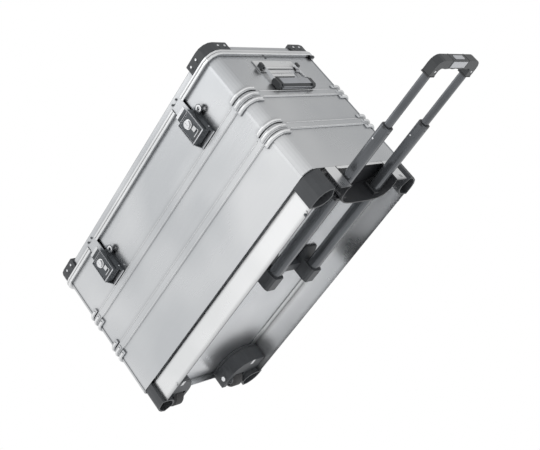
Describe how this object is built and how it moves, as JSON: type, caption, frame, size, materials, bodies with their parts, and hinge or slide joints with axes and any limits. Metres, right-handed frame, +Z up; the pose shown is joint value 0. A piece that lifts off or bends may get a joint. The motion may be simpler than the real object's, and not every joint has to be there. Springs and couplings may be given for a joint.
{
  "type": "wheeled aluminium equipment case",
  "caption": "Rectangular aluminium case with beaded walls, latched hinged lid, drop handles, two wheels and a telescopic tow handle under its floor",
  "frame": {"origin": "centre of the bounding box's bottom, on the floor that the case stands on", "axes": "+X from the wheels to the tow handle, +Y from the latches to the hinges, +Z up to the lid"},
  "size_m": [1.0945, 0.3996, 0.44],
  "materials": {
    "aluminium": "satin natural aluminium",
    "steel": "bright plated steel",
    "chrome": "polished",
    "dark_metal": "dark grey satin",
    "black_plastic": "fine texture",
    "rubber": "soft seal",
    "tyre": "matte rubber",
    "grey_plastic": "light grey"
  },
  "bodies": {
    "case": {"back_skirt": "aluminium", "body_rim": "aluminium", "body_shell": "aluminium", "bottom_panel": "aluminium", "corner_foot_a": "black_plastic", "corner_foot_b": "black_plastic", "end_strip_a": "aluminium", "end_strip_b": "aluminium", "front_skirt": "aluminium", "handle_bowl": "black_plastic", "handle_plate_tow_end": "aluminium", "handle_plate_wheel_end": "aluminium", "hinge_body_leaf_a": "steel", "hinge_body_leaf_b": "steel", "hinge_pin_a": "steel", "hinge_pin_b": "steel", "latch_base_a": "dark_metal", "latch_base_b": "dark_metal", "latch_pin_a": "steel", "latch_pin_b": "steel", "outer_tube_a": "dark_metal", "outer_tube_b": "dark_metal", "tube_bracket": "black_plastic", "wheel_axle_a": "steel", "wheel_axle_b": "steel", "wheel_housing_a": "black_plastic", "wheel_housing_b": "black_plastic"},
    "lid": {"lid_shell": "aluminium", "lid_rim": "aluminium", "lid_seal": "rubber", "lid_protector_a": "black_plastic", "lid_protector_b": "black_plastic", "lid_protector_c": "black_plastic", "lid_protector_d": "black_plastic", "strike_a": "steel", "strike_b": "steel", "hinge_lid_leaf_a": "steel", "hinge_lid_leaf_b": "steel"},
    "lever_a": {"latch_lever_a": "dark_metal"},
    "hook_a": {"latch_hook_a": "steel"},
    "key_a": {"key_cylinder_a": "chrome"},
    "lever_b": {"latch_lever_b": "dark_metal"},
    "hook_b": {"latch_hook_b": "steel"},
    "key_b": {"key_cylinder_b": "chrome"},
    "drop_handle_tow_end": {"handle_bail_tow_end": "steel", "handle_grip_tow_end": "black_plastic"},
    "drop_handle_wheel_end": {"handle_bail_wheel_end": "steel", "handle_grip_wheel_end": "black_plastic"},
    "middle_stage": {"middle_tube_a": "dark_metal", "middle_tube_b": "dark_metal"},
    "inner_stage": {"inner_tube_a": "dark_metal", "inner_tube_b": "dark_metal", "tow_grip": "black_plastic"},
    "button": {"release_button": "grey_plastic"},
    "wheel_a": {"wheel_tyre_a": "tyre", "wheel_hub_a": "grey_plastic"},
    "wheel_b": {"wheel_tyre_b": "tyre", "wheel_hub_b": "grey_plastic"}
  },
  "joints": [
    {"name": "lid_hinge", "type": "hinge", "parent": "case", "child": "lid", "pos_m": [-0.15325, 0.19505, 0.405], "axis": [-1, 0, 0], "range_deg": [0, 100]},
    {"name": "latch_lever_a_swing", "type": "hinge", "parent": "case", "child": "lever_a", "pos_m": [-0.36625, -0.17845, 0.305], "axis": [1, 0, 0], "range_deg": [0, 85]},
    {"name": "latch_hook_a_swing", "type": "hinge", "parent": "lever_a", "child": "hook_a", "pos_m": [-0.36625, -0.18665, 0.351], "axis": [1, 0, 0], "range_deg": [-55, 0]},
    {"name": "key_a_turn", "type": "hinge", "parent": "lever_a", "child": "key_a", "pos_m": [-0.36725, -0.19645, 0.3405], "axis": [0, 1, 0], "range_deg": [0, 90]},
    {"name": "latch_lever_b_swing", "type": "hinge", "parent": "case", "child": "lever_b", "pos_m": [0.08275, -0.17845, 0.305], "axis": [1, 0, 0], "range_deg": [0, 85]},
    {"name": "latch_hook_b_swing", "type": "hinge", "parent": "lever_b", "child": "hook_b", "pos_m": [0.08275, -0.18665, 0.351], "axis": [1, 0, 0], "range_deg": [-55, 0]},
    {"name": "key_b_turn", "type": "hinge", "parent": "lever_b", "child": "key_b", "pos_m": [0.08175, -0.19645, 0.3405], "axis": [0, 1, 0], "range_deg": [0, 90]},
    {"name": "drop_handle_tow_end_swing", "type": "hinge", "parent": "case", "child": "drop_handle_tow_end", "pos_m": [0.23325, 0.00505, 0.3577], "axis": [0, -1, 0], "range_deg": [0, 90]},
    {"name": "drop_handle_wheel_end_swing", "type": "hinge", "parent": "case", "child": "drop_handle_wheel_end", "pos_m": [-0.53975, 0.00505, 0.3577], "axis": [0, 1, 0], "range_deg": [0, 90]},
    {"name": "tow_handle_middle_slide", "type": "slide", "parent": "case", "child": "middle_stage", "axis": [1, 0, 0], "range_m": [-0.184, 0]},
    {"name": "tow_handle_inner_slide", "type": "slide", "parent": "middle_stage", "child": "inner_stage", "axis": [1, 0, 0], "range_m": [-0.133, 0]},
    {"name": "release_button_press", "type": "slide", "parent": "inner_stage", "child": "button", "axis": [-1, 0, 0], "range_m": [0, 0.003], "stiffness_N_per_m": 600},
    {"name": "wheel_a_spin", "type": "hinge", "parent": "case", "child": "wheel_a", "pos_m": [-0.51225, -0.09995, 0.025], "axis": [0, 1, 0], "continuous": true},
    {"name": "wheel_b_spin", "type": "hinge", "parent": "case", "child": "wheel_b", "pos_m": [-0.51225, 0.11005, 0.025], "axis": [0, 1, 0], "continuous": true}
  ],
  "couplings": [
    {"joint": "latch_hook_a_swing", "follows": "latch_lever_a_swing", "ratio": -0.647},
    {"joint": "latch_hook_b_swing", "follows": "latch_lever_b_swing", "ratio": -0.647}
  ]
}
